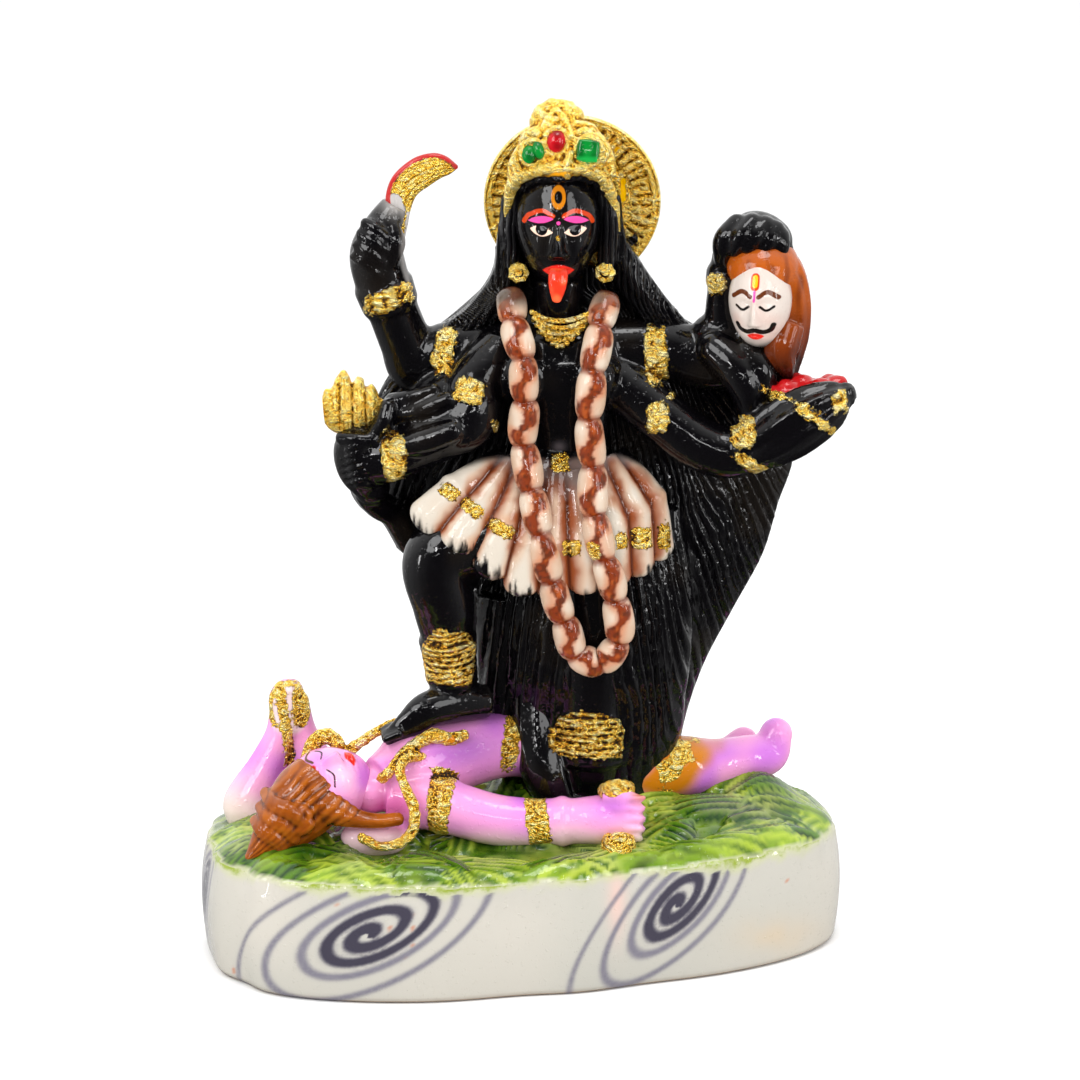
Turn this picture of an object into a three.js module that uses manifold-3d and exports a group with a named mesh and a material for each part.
// A glazed ceramic figure of four-armed Kali, standing on the reclining Shiva on a rocky oval base.
// It is cast in one, so the whole figure is one solid. Millimetres, +Z up, front towards -Y.
// The origin is the middle of the underside.
import * as THREE from "three";
import { mergeVertices } from "three/addons/utils/BufferGeometryUtils.js";
import Module from "manifold-3d";

const wasm = await Module();
wasm.setup();

// The base: a rounded oblong block that lies askew and narrows to the right, with grass on a mound.
const BASE_LENGTH = 110;
const BASE_DEPTH = 62;
const BASE_HEIGHT = 22;
const BASE_ASKEW_DEG = 11;
const BASE_SQUARENESS = 2.5;
const BASE_TAPER = 0.1;
const BASE_SEGMENTS = 34;
const FOOT_CHAMFER = 1.2;
const RIM_ROUND = 2.4;
const WALL_BULGE = 0.015;
const MOUND_HEIGHT = 6.5;
const TUFT_HEIGHT = 1;

// The figures: the pose tables below give heights above the base for a figure of POSED_HEIGHT.
const FIGURE_HEIGHT = 128;
const POSED_HEIGHT = 128;
const POSE_SCALE = FIGURE_HEIGHT / POSED_HEIGHT;

// Ornaments and hair, in millimetres.
const BAND_SWELL = 0.6;
const ANKLET_RIB = 0.7;
const HALO_THICKNESS = 2.6;
const HALO_RADII = [15, 14.2];
const BLADE_THICKNESS = 2.4;
const BEAD_PINCH = 1;
const BANGLE_SWELL = 0.45;
const LOCK_DEPTH = 0.7;
const HAIR_LOCKS = 13;

// The least share of a limb's path between a ring of its relief and a plain one.
const RING_GAP = 0.02;

const DEPTH_WAY = new THREE.Vector3(0, 1, 0);
const UP_WAY = new THREE.Vector3(0, 0, 1);
const ACROSS_WAY = new THREE.Vector3(1, 0, 0);

// A place in the pose, in the model's frame.
function placed([x, y, z]) {
  return new THREE.Vector3(x, y, z).multiplyScalar(POSE_SCALE).add(new THREE.Vector3(0, 0, BASE_HEIGHT));
}

// A three.js geometry as a manifold-3d solid.
function solid(geometry) {
  const bare = geometry.index ? geometry.toNonIndexed() : geometry.clone();
  bare.deleteAttribute("normal");
  bare.deleteAttribute("uv");
  const merged = mergeVertices(bare, 1e-4);
  const corners = merged.index.array;
  const kept = [];
  for (let i = 0; i < corners.length; i += 3) {
    const [a, b, c] = corners.slice(i, i + 3);
    if (a !== b && b !== c && c !== a) kept.push(a, b, c);
  }
  return new wasm.Manifold(
    new wasm.Mesh({
      numProp: 3,
      vertProperties: new Float32Array(merged.attributes.position.array),
      triVerts: new Uint32Array(kept),
    }),
  );
}

// A tube through stations [x, y, z, across, depth]: a LatheGeometry bent along a curve. Across is the
// half width square to the path and to the reference way, and depth the half width towards that way.
// Its ends are rounded by shares of its girth, and 0 leaves an end flat. Relief is a list of raised
// or pinched stretches, each a list of rings [share of the path, millimetres], and flutes run along it.
// The rings of a level limb stay level however its path leans.
function limb(stations, options = {}) {
  const { sides = 6, way = DEPTH_WAY, ends = [0, 1], relief = [], flutes = 0, level = false } = options;
  const path = new THREE.CatmullRomCurve3(stations.map(placed), false, "catmullrom", 0.5);
  const girths = stations.map(([, , , across, depth]) =>
    new THREE.Vector3(across, depth ?? across, 0).multiplyScalar(POSE_SCALE));
  const girth = new THREE.CatmullRomCurve3(girths, false, "catmullrom", 0.5);
  const rings = [];
  const addRing = (share, slip, shrink, raised) => {
    const tangent = level ? UP_WAY.clone().negate() : path.getTangent(share);
    const side = new THREE.Vector3().crossVectors(tangent, way).normalize();
    const front = new THREE.Vector3().crossVectors(side, tangent);
    const { x: across, y: depth } = girth.getPoint(share);
    rings.push({
      middle: path.getPoint(share).addScaledVector(tangent, slip * Math.min(across, depth)),
      side,
      front,
      across: (across + raised) * shrink,
      depth: (depth + raised) * shrink,
    });
  };
  const clearOf = (share) => (rows) => share < rows[0][0] - RING_GAP || share > rows.at(-1)[0] + RING_GAP;
  const plain = stations
    .map((_, k) => [k / (stations.length - 1), 0])
    .filter(([share]) => relief.every(clearOf(share)));
  addRing(0, -ends[0], 0, 0);
  const domed = sides > 4;
  if (domed && ends[0] > 0) addRing(0, -0.7 * ends[0], 0.72, 0);
  for (const [share, raised] of [...plain, ...relief.flat()].sort((a, b) => a[0] - b[0])) {
    addRing(share, 0, 1, raised);
  }
  if (domed && ends[1] > 0) addRing(1, 0.7 * ends[1], 0.72, 0);
  addRing(1, ends[1], 0, 0);
  const last = rings.length - 1;
  const profile = rings.map((ring, k) => new THREE.Vector2(k === 0 || k === last ? 0 : 1, k));
  const geometry = new THREE.LatheGeometry(profile, sides);
  const position = geometry.attributes.position;
  for (let i = 0; i < position.count; i++) {
    const { middle, side, front, across, depth } = rings[Math.round(position.getY(i))];
    const right = position.getX(i);
    const back = position.getZ(i);
    const moved = middle.clone().addScaledVector(side, right * across).addScaledVector(front, back * depth);
    if (flutes > 0 && across > 0) {
      const outward = new THREE.Vector3().addScaledVector(side, right * depth);
      outward.addScaledVector(front, back * across);
      moved.addScaledVector(outward.normalize(), LOCK_DEPTH * Math.cos(flutes * Math.atan2(right, back)));
    }
    position.setXYZ(i, moved.x, moved.y, moved.z);
  }
  return solid(geometry);
}

// A flat raised ring round a limb, as a stretch of relief.
function band(from, to) {
  return [[from, 0], [from, BAND_SWELL], [to, BAND_SWELL], [to, 0]];
}

// A stack of round rings on a leg, as a stretch of relief.
function anklet(from, to, rings) {
  const steps = 2 * rings;
  const edge = (k) => [from + ((to - from) * k) / steps, ANKLET_RIB * (k % 2)];
  return Array.from({ length: steps + 1 }, (_, k) => edge(k));
}

// An ellipsoid, turned by angles in degrees.
function ellipsoid(centre, radii, { turn = [0, 0, 0], across = 10, up = 8 } = {}) {
  const geometry = new THREE.SphereGeometry(1, across, up);
  geometry.rotateX(Math.PI / 2);
  geometry.scale(...radii.map((radius) => radius * POSE_SCALE));
  geometry.rotateX(THREE.MathUtils.degToRad(turn[0]));
  geometry.rotateY(THREE.MathUtils.degToRad(turn[1]));
  geometry.rotateZ(THREE.MathUtils.degToRad(turn[2]));
  const { x, y, z } = placed(centre);
  geometry.translate(x, y, z);
  return solid(geometry);
}

// A small round knob, such as a gem or an earring.
function knob(centre, radii) {
  return ellipsoid(centre, radii, { across: 6, up: 4 });
}

function joined(pieces) {
  return pieces.flat(Infinity).reduce((whole, piece) => whole.add(piece));
}

// The base's outline: how far its wall is from the middle at an angle. A superellipse turned askew,
// narrower to the right, with a groove at the front left and a few shallow undulations.
function outlineRadius(angle) {
  const local = angle - THREE.MathUtils.degToRad(BASE_ASKEW_DEG);
  const halfDepth = (BASE_DEPTH / 2) * (1 - BASE_TAPER * Math.cos(local));
  const along = Math.abs(Math.cos(local) / (BASE_LENGTH / 2));
  const across = Math.abs(Math.sin(local) / halfDepth);
  const plain = (along ** BASE_SQUARENESS + across ** BASE_SQUARENESS) ** (-1 / BASE_SQUARENESS);
  const groove = 1.3 * Math.exp(-(((angle + 2.66) / 0.08) ** 2));
  return plain - groove + 0.4 * Math.sin(5 * angle + 1) + 0.3 * Math.sin(9 * angle);
}

// How far the ground stands above the rim at a point: the mound and its tufts of grass.
function groundHeight(x, y) {
  const mound = MOUND_HEIGHT * Math.exp(-(((x - 8) / 36) ** 2) - ((y - 8) / 15) ** 2);
  const tufts = Math.sin(0.42 * x + 0.9 * Math.sin(0.31 * y)) * Math.sin(0.55 * y + 0.12 * x);
  return mound + TUFT_HEIGHT * tufts;
}

// A lathed slab whose profile is drawn in shares of the outline, then pushed out to it.
function base() {
  const half = BASE_DEPTH / 2;
  const profile = [
    [0, 0],
    [1 - FOOT_CHAMFER / half, 0],
    [1, FOOT_CHAMFER],
    [1 + WALL_BULGE, BASE_HEIGHT * 0.5],
    [1, BASE_HEIGHT - RIM_ROUND],
    [1 - (0.3 * RIM_ROUND) / half, BASE_HEIGHT - 0.3 * RIM_ROUND],
    [1 - RIM_ROUND / half, BASE_HEIGHT],
    [0.76, BASE_HEIGHT],
    [0.5, BASE_HEIGHT],
    [0, BASE_HEIGHT],
  ];
  const geometry = new THREE.LatheGeometry(profile.map(([r, z]) => new THREE.Vector2(r, z)), BASE_SEGMENTS);
  geometry.rotateX(Math.PI / 2);
  const position = geometry.attributes.position;
  for (let i = 0; i < position.count; i++) {
    const share = Math.hypot(position.getX(i), position.getY(i));
    const angle = Math.atan2(position.getY(i), position.getX(i));
    const reach = share * outlineRadius(angle);
    const x = reach * Math.cos(angle);
    const y = reach * Math.sin(angle);
    const onTop = position.getZ(i) >= BASE_HEIGHT - 1e-6;
    const risen = THREE.MathUtils.smoothstep(1 - share, 0.06, 0.3);
    position.setXYZ(i, x, y, position.getZ(i) + (onTop ? groundHeight(x, y) * risen : 0));
  }
  return solid(geometry);
}

// The standing figure's trunk and legs, the front leg bent.
const TORSO = [
  [7, 0, 52, 11, 7],
  [7, 0, 60, 10.4, 7],
  [7, 0, 67, 8.2, 5.6],
  [7, -0.5, 74, 9.2, 6.2],
  [7, -1.2, 80, 11, 7],
  [7, 0, 86, 11.5, 6],
  [7, 0, 89, 7, 4.8],
];
const NECK = [
  [6.8, -0.5, 86, 4.8],
  [6.7, -1.5, 97, 4.2],
];
const RIGHT_LEG = [
  [2, 0, 58, 8],
  [-6, -6, 54, 7.6],
  [-13.8, -10, 49.5, 6],
  [-12.9, -8, 41, 5.4],
  [-12.2, -6, 34, 4.4],
  [-11.2, -5, 26, 3.7],
  [-9.5, -4.5, 22, 3.8],
];
const RIGHT_FOOT = [
  [-4.5, -3.5, 22, 2.9, 3],
  [-10.5, -6, 22, 3.1, 3.6],
  [-16.5, -9, 19, 2.5, 3.4],
  [-21.6, -11, 17.4, 1.4, 3],
];
const LEFT_LEG = [
  [12, 1, 57, 9],
  [13, 0, 44, 8.4],
  [12.8, 0, 30, 8],
  [12.4, 1, 20, 6.8],
  [12.2, 1, 10, 6.2],
  [11.5, 0, 5, 4.4],
];
const LEFT_FOOT = [
  [11.5, 2, 4.5, 3.4, 2.6],
  [10.5, -3, 4, 3.4, 2.4],
  [9.8, -8, 2.8, 3, 1.6],
];

// Her four arms, each from the shoulder to the hand.
const SWORD_ARM = [
  [1, 2, 84, 5],
  [-12, 3, 83.2, 4.8],
  [-17.4, 3.5, 80, 4.7],
  [-19.4, 3, 84.6, 4.5],
  [-21.4, 2, 90, 4.4],
  [-23.3, 1, 95.6, 4.7],
  [-24.2, 1, 100.5, 4.6],
  [-22.8, 1, 105, 3.5],
  [-20.9, 1, 108.8, 2.4],
];
const BLADE = [
  [-21.8, 1, 106, 2.2],
  [-20.8, 1, 110, 2.5],
  [-18.7, 1, 113.3, 2.3],
  [-15.4, 1, 115.3, 2.2],
  [-12.4, 1, 116.1, 1.8],
  [-10.9, 1, 116, 0.9],
];
const FAN_ARM = [
  [-2.4, -0.6, 84, 4.8],
  [-6.8, -4, 79.4, 4.8],
  [-8.4, -6, 73.4, 5.2],
  [-14, -6, 70.4, 4.9],
  [-20.8, -6, 66.8, 4.3],
  [-25.6, -5, 66, 4.6],
];
const FAN_SLEEVE = [
  [-8, 0.4, 78.4, 5],
  [-16, -3, 74, 4.2],
  [-22, -4, 72.4, 3],
];
const FAN_HAND = [
  [-27.4, -4.6, 70.4, 4.4, 3.6],
  [-27, -4, 65, 4.4, 4],
  [-25.6, -3, 60.4, 3.4],
];
const HEAD_ARM = [
  [15, 1, 84, 5.2],
  [24.6, 2, 83.6, 5.2],
  [32, 2.5, 81.4, 5.3],
  [36, 2, 82.4, 4.8],
  [35, 1.5, 88, 3.5],
  [34.6, 1, 93, 2.6],
  [34.9, 0, 98, 2.4],
  [36.4, -0.5, 102, 2.9],
  [39.8, -1, 104.6, 3.5],
  [43.4, -1, 103.4, 3.1],
  [45, -1, 101.2, 1.8],
];
const BOWL_ARM = [
  [14, -1, 80, 5],
  [20, -3, 76.2, 4.7],
  [24.8, -4.6, 72.8, 4.5],
  [30, -5.4, 69, 4.6],
  [35, -6, 67.2, 4.5],
  [39.8, -6.6, 68.2, 4.2],
  [45, -7, 70.8, 4.2],
  [49.6, -7, 73, 4],
  [53.4, -6.8, 76, 2.2],
];

// The severed head's hair.
const LOOSE_HAIR = [
  [38.6, -1.6, 98, 4],
  [43.6, -1, 98.4, 3.8],
  [46.1, 0, 94.4, 3.3],
  [46.5, 0.5, 88.4, 3.1],
  [45.5, 1, 83, 2.8],
  [43.6, 2, 76.6, 3],
];

// The reclining figure, from left to right.
const SHIVA_TORSO = [
  [-24, -12, 10, 4.8],
  [-17.5, -8, 11.4, 7.4],
  [-8.4, -4, 12.6, 7.2],
  [-0.5, -1, 12.6, 6.2],
  [8, 1, 10.5, 6.4],
];
const SHIVA_NEAR_LEG = [
  [8, 1, 10, 6.2],
  [19, 2.5, 8.4, 5.8],
  [27, 4, 8.6, 5.6],
  [34, 7.5, 8, 4.6],
  [40, 10.5, 8.4, 4],
  [43.6, 12.6, 8.6, 3.6],
  [45, 13, 12, 2.9],
];
const SHIVA_FAR_LEG = [
  [10, 8, 8.6, 6],
  [27, 12, 5.6, 4.6],
  [36, 16, 7, 3.4],
  [39.4, 17.5, 9.4, 2.6],
];
const SHIVA_NEAR_ARM = [
  [-22, -13, 8, 4.6],
  [-13, -14.6, 7, 4.6],
  [-3.3, -15.4, 4.6, 4.4],
  [7.5, -15.2, 4.4, 3.9],
  [14, -15.4, 4.7, 4.3],
  [20.4, -15.4, 4.8, 4.4],
];
const SHIVA_FAR_ARM = [
  [-31, 4, 7, 5],
  [-41, 2, 3, 4.6],
  [-47, 0.4, 2.4, 4.6],
  [-43.8, 1.4, 9.4, 3.4],
  [-41.4, 2.4, 14.8, 2.8],
  [-40, 3, 19.4, 3.3, 2.4],
  [-39.6, 3, 22.6, 2.2],
];
const SNAKE_BACK = [
  [-39, 3, 21.4, 2.4],
  [-38, 4, 15, 2.8],
  [-36, 4, 8, 4.6],
];
const SHIVA_NOSE = [
  [-34, -16.8, 16.4, 0.7],
  [-33.4, -19.6, 14.6, 0.9],
];
const TOPKNOT = [
  [-35, -15, 9, 5.6],
  [-39.5, -17, 6.4, 5.4],
  [-43.4, -19.4, 3.4, 3.8],
  [-45.4, -21, 1.6, 2],
];
const HAIR_LOCK = [
  [-34, -18, 6, 3.2],
  [-27, -18.5, 4.8, 2.1],
  [-20.6, -17.6, 4.4, 1.6],
];
const NECK_SNAKE = [
  [-10.5, -8.6, 19.6, 0.9],
  [-19, -12.2, 15.6, 0.9],
  [-20.2, -16, 13, 0.9],
  [-17.8, -19.6, 8, 0.9],
  [-19.6, -21.6, 2.4, 0.9],
  [-26, -22, 1.6, 0.9],
];

// The garland: the places between its beads, from her right shoulder down and up to her left one.
const GARLAND = [
  [-1.4, -3.5, 94.6],
  [-0.9, -7.6, 90.4],
  [0.6, -10.4, 84.6],
  [1, -11, 77.4],
  [0.8, -10, 69.6],
  [2.2, -11.6, 62],
  [3.6, -13, 54.6],
  [5.4, -13.2, 46.6],
  [7.6, -12.2, 39.4],
  [9.8, -11.2, 33.2],
  [13.8, -10.8, 31.4],
  [17, -11.2, 35.4],
  [16.5, -12, 43],
  [14.5, -13.2, 50.4],
  [12.8, -12.8, 58],
  [12.5, -11.2, 66],
  [11.9, -11.6, 74.6],
  [12.6, -11, 82.4],
  [13.8, -8.2, 89.4],
  [15, -4, 94],
];
const BEAD_RADII = [2.65, 2.4];

// The skirt's arms: where each leaves the waist, its middle and its hand, with the hand's half width.
const SKIRT_ARMS = [
  { waist: [-3, -3.6, 65.6], middle: [-10.6, -10, 61.6], hand: [-15.6, -12.4, 57.4], width: 3.3 },
  { waist: [-1, -5.2, 65.2], middle: [-7, -11.4, 58.6], hand: [-10.4, -13.6, 53.6], width: 3.2 },
  { waist: [1, -6.4, 64.8], middle: [-2.6, -12, 55.4], hand: [-5, -13.4, 49.2], width: 3.2 },
  { waist: [3.2, -7, 64.6], middle: [1.2, -12, 53], hand: [0.4, -12.8, 46], width: 3 },
  { waist: [6.4, -7.4, 64.4], middle: [5.8, -11.4, 53], hand: [5.6, -11.6, 45.4], width: 2.9 },
  { waist: [9.4, -7.2, 64.4], middle: [10.6, -10.8, 53], hand: [11.2, -10.6, 45.8], width: 2.9 },
  { waist: [12, -6.4, 64.6], middle: [15, -9.6, 54], hand: [16.2, -9.2, 46.8], width: 2.8 },
  { waist: [14, -4.6, 64.8], middle: [18.8, -7.4, 54.8], hand: [20.2, -7, 48], width: 2.7 },
  { waist: [15.4, -2, 65], middle: [21.6, -4, 55.6], hand: [23.4, -3.6, 49.4], width: 2.6 },
];

// Locks of hair beside her face and over her shoulders.
const SIDE_LOCKS = [
  [[-1, -1.6, 111, 2], [-1.4, -1, 103.6, 2.4], [-2, 1, 96, 3], [-6.6, 2, 89.4, 2.9], [-13, 3.4, 85, 2.2]],
  [[15.4, -1.6, 111, 2], [15.8, -1, 104, 2.4], [18, 1, 98, 3], [22.8, 2, 91, 2.9], [28.8, 3.4, 85, 2]],
];

// The cape of hair behind her, from the nape to the ground.
const HAIR_CAPE = [
  [7.4, 5, 98, 9, 4],
  [7.6, 6.5, 90, 17.5, 5],
  [9, 7, 83, 27, 5.6],
  [10.6, 7.5, 75, 34.6, 6.2],
  [10.4, 7.5, 64, 37, 6.6],
  [10.8, 7.5, 55, 34, 7],
  [11.2, 7.5, 46, 31, 7],
  [12, 7.5, 36, 25, 7],
  [12.4, 7.5, 26, 19.6, 7],
  [13, 7.5, 15, 15.6, 7],
  [13.6, 7.5, 3, 13.4, 6.4],
];

function standingBody() {
  return joined([
    limb(TORSO, { sides: 9 }),
    limb(NECK, { ends: [0, 0], sides: 5 }),
    knob([1.2, -4.6, 79.6], [4.6, 4, 4.6]),
    knob([12.8, -4.6, 79.6], [4.6, 4, 4.6]),
    limb(RIGHT_LEG, { sides: 8, ends: [0, 0], relief: [anklet(0.64, 0.85, 3)] }),
    limb(RIGHT_FOOT, { way: UP_WAY }),
    limb(LEFT_LEG, { sides: 8, ends: [0, 0], relief: [anklet(0.6, 0.78, 3)] }),
    limb(LEFT_FOOT, { way: UP_WAY }),
  ]);
}

// Her head with its nose, tongue and earrings.
function standingHead() {
  return joined([
    ellipsoid([6.7, -3.2, 106.8], [7.9, 8.4, 11.8], { across: 11, up: 8 }),
    limb([[6.4, -10.6, 108, 0.8], [6.2, -12.4, 103.4, 1.5]], { ends: [0, 0.6], sides: 5 }),
    limb([[6.2, -9.4, 100.4, 1.9, 1], [6.1, -11.4, 96.6, 1.3, 0.8]], { ends: [0, 1], sides: 6 }),
    knob([0.3, -5.6, 98], [1.9, 1.6, 1.9]),
    knob([13.7, -4.8, 98.2], [1.9, 1.6, 1.9]),
  ]);
}

// The halo is a disc with a raised rim, and the crown a cap that leans back, with a lobe on top.
function headdress() {
  const half = HALO_THICKNESS / 2;
  const [rim] = HALO_RADII;
  const profile = [
    [0, -half],
    [rim - 0.3, -half],
    [rim - 0.6, half],
    [rim - 2.6, half * 0.4],
    [0, half * 0.4],
  ];
  const halo = new THREE.LatheGeometry(profile.map(([r, y]) => new THREE.Vector2(r, y)), 24);
  halo.rotateX(Math.PI);
  halo.scale(POSE_SCALE, 1, (POSE_SCALE * HALO_RADII[1]) / rim);
  const { x, y, z } = placed([9.2, 3.4, 108.6]);
  halo.translate(x, y, z);
  const crown = [
    [7.3, -7, 113, 9.2, 6.6],
    [7.2, -4.6, 117.2, 8.8, 6.4],
    [6.8, -2.6, 121.4, 6.2, 4.8],
  ];
  return joined([
    solid(halo),
    limb(crown, { sides: 10, ends: [0, 0.6], relief: [[[0, BAND_SWELL], [0.25, BAND_SWELL], [0.25, 0]]] }),
    ellipsoid([6.4, -2.2, 123.3], [4.6, 3.2, 4.3], { across: 8, up: 5 }),
    knob([6.3, -9.6, 120.6], [1.7, 1.4, 1.9]),
    knob([2.2, -9, 119], [1.6, 1.4, 2]),
    knob([11.6, -9, 119], [1.9, 1.4, 2.1]),
  ]);
}

// Fingers that lie across a hand: short stubs between two lines of places, side by side.
function fingers(count, start, end, step, width) {
  return Array.from({ length: count }, (_, k) => {
    const at = (place) => [...place.map((value, axis) => value + k * step[axis]), width];
    return limb([at(start), at(end)], { ends: [0, 0.8], sides: 4 });
  });
}

function swordArm() {
  const blade = BLADE.map(([x, y, z, across]) => [x, y, z, across, BLADE_THICKNESS / 2]);
  return joined([
    limb(SWORD_ARM, { sides: 7, ends: [0, 0], relief: [band(0.12, 0.18), band(0.52, 0.62)] }),
    limb(blade, { sides: 5 }),
    fingers(4, [-21.4, -2.6, 97.6], [-27, -1.6, 99.6], [0.5, 0, 2.1], 1.15),
  ]);
}

// The arm whose fist holds a fan of five gilt petals.
function fanArm() {
  const tips = [[-32.9, 76.6], [-31.6, 78.8], [-29.6, 80.1], [-27.2, 78.7], [-25.2, 75.6]];
  const petals = tips.map(([x, z], k) => [[-31.2 + 1.5 * k, -4.4, 69.6, 1.4, 1.8], [x, -4.6, z, 1.2, 1]]);
  return joined([
    limb(FAN_ARM, { sides: 7, ends: [0, 0], relief: [band(0.2, 0.3), band(0.72, 0.82)] }),
    limb(FAN_SLEEVE, { sides: 5 }),
    limb(FAN_HAND, { ends: [0.8, 0.8] }),
    petals.map((petal) => limb(petal, { sides: 4 })),
    fingers(4, [-24.2, -6.4, 68.6], [-29.6, -7, 68], [0.35, 0.1, -2.2], 1.2),
  ]);
}

// The arm that holds a severed head by its hair.
function headArm() {
  return joined([
    limb(HEAD_ARM, { relief: [band(0.08, 0.15), band(0.54, 0.6)] }),
    ellipsoid([41, -3.6, 93.4], [6.2, 6, 8.4], { across: 8, up: 6 }),
    limb(LOOSE_HAIR),
    limb([[39.4, -9, 95, 0.6], [39, -10.2, 92, 1]], { ends: [0, 0.6], sides: 5 }),
  ]);
}

// The arm that holds a brimming bowl.
function bowlArm() {
  const bowl = [
    [49.2, -6.4, 71.8, 3.6, 3.4],
    [49.3, -6.5, 74.8, 6.2, 5],
    [49.4, -6.6, 77, 7.3, 5.6],
  ];
  return joined([
    limb(BOWL_ARM, { sides: 7, relief: [band(0.2, 0.28), band(0.54, 0.64)] }),
    limb(bowl, { ends: [0, 0], sides: 9 }),
    ellipsoid([50.2, -5.8, 77], [6, 4.6, 2.9], { across: 8, up: 5 }),
    fingers(3, [46.4, -9.8, 70.6], [53, -9.2, 75], [0.5, 1.6, -0.8], 1.1),
  ]);
}

// The garland is one tube, pinched between its beads.
function garland() {
  const spans = GARLAND.length - 1;
  const beads = GARLAND.flatMap((_, k) => [[k / spans, -BEAD_PINCH], [(k + 0.5) / spans, 0]]).slice(0, -1);
  return limb(GARLAND.map((place) => [...place, ...BEAD_RADII]), { relief: [beads], ends: [0, 0] });
}

// Each arm of the skirt swells to a hand and carries a bangle at its middle.
function skirt() {
  const bangle = [[0.5, BANGLE_SWELL]];
  return joined(SKIRT_ARMS.map(({ waist, middle, hand, width }) => {
    const arm = [
      [...waist, 2.1, 2],
      [...middle, 0.88 * width, 2.4],
      [...hand, width, 2.3],
    ];
    return limb(arm, { relief: [bangle] });
  }));
}

function hair() {
  return joined([
    limb(HAIR_CAPE, { sides: 2 * HAIR_LOCKS, flutes: HAIR_LOCKS, ends: [0, 0], level: true }),
    SIDE_LOCKS.map((lock) => limb(lock)),
  ]);
}

function recliningFigure() {
  const drum = [
    [15.8, -13.6, 10, 3.8, 3.6],
    [16.2, -15.6, 6, 2.8, 2.6],
    [16.8, -19, 0.6, 3.8, 3.6],
  ];
  return joined([
    limb(SHIVA_TORSO, { sides: 8 }),
    limb(SHIVA_NEAR_LEG),
    limb(SHIVA_FAR_LEG),
    limb(SHIVA_NEAR_ARM, { sides: 7, ends: [0, 0.3], relief: [band(0.17, 0.25), band(0.56, 0.63)] }),
    limb(SHIVA_FAR_ARM),
    limb(SNAKE_BACK),
    ellipsoid([-32.6, -13.6, 10], [7.6, 6.8, 7.2], { turn: [0, 20, 20], across: 8, up: 6 }),
    limb(TOPKNOT),
    limb(HAIR_LOCK),
    limb(NECK_SNAKE, { sides: 4 }),
    limb(SHIVA_NOSE, { ends: [0, 0.6], sides: 5, way: ACROSS_WAY }),
    limb(drum, { ends: [0, 0], way: ACROSS_WAY, sides: 7 }),
  ]);
}

// The casting has no pockets: those that the joined forms enclose between them are filled.
function withoutPockets(casting) {
  return joined(casting.decompose().filter((shell) => shell.volume() > 0));
}

const whole = withoutPockets(joined([
  base(),
  recliningFigure(),
  standingBody(),
  standingHead(),
  headdress(),
  hair(),
  swordArm(),
  fanArm(),
  headArm(),
  bowlArm(),
  skirt(),
  garland(),
]));

// The joined solid as a three.js geometry.
function geometryOf(manifold) {
  const { vertProperties, numProp, triVerts } = manifold.getMesh();
  const positions = new Float32Array((vertProperties.length / numProp) * 3);
  for (let i = 0; i < positions.length / 3; i++) {
    for (let axis = 0; axis < 3; axis++) positions[3 * i + axis] = vertProperties[numProp * i + axis];
  }
  const geometry = new THREE.BufferGeometry();
  geometry.setAttribute("position", new THREE.BufferAttribute(positions, 3));
  geometry.setIndex(new THREE.BufferAttribute(new Uint32Array(triVerts), 1));
  geometry.computeVertexNormals();
  return geometry;
}

const glazedBlack = new THREE.MeshStandardMaterial({ color: 0x1a191b, roughness: 0.15, metalness: 0 });
const figure = new THREE.Mesh(geometryOf(whole), glazedBlack);
figure.name = "kali_figure";

const model = new THREE.Group();
model.add(figure);

export default model;
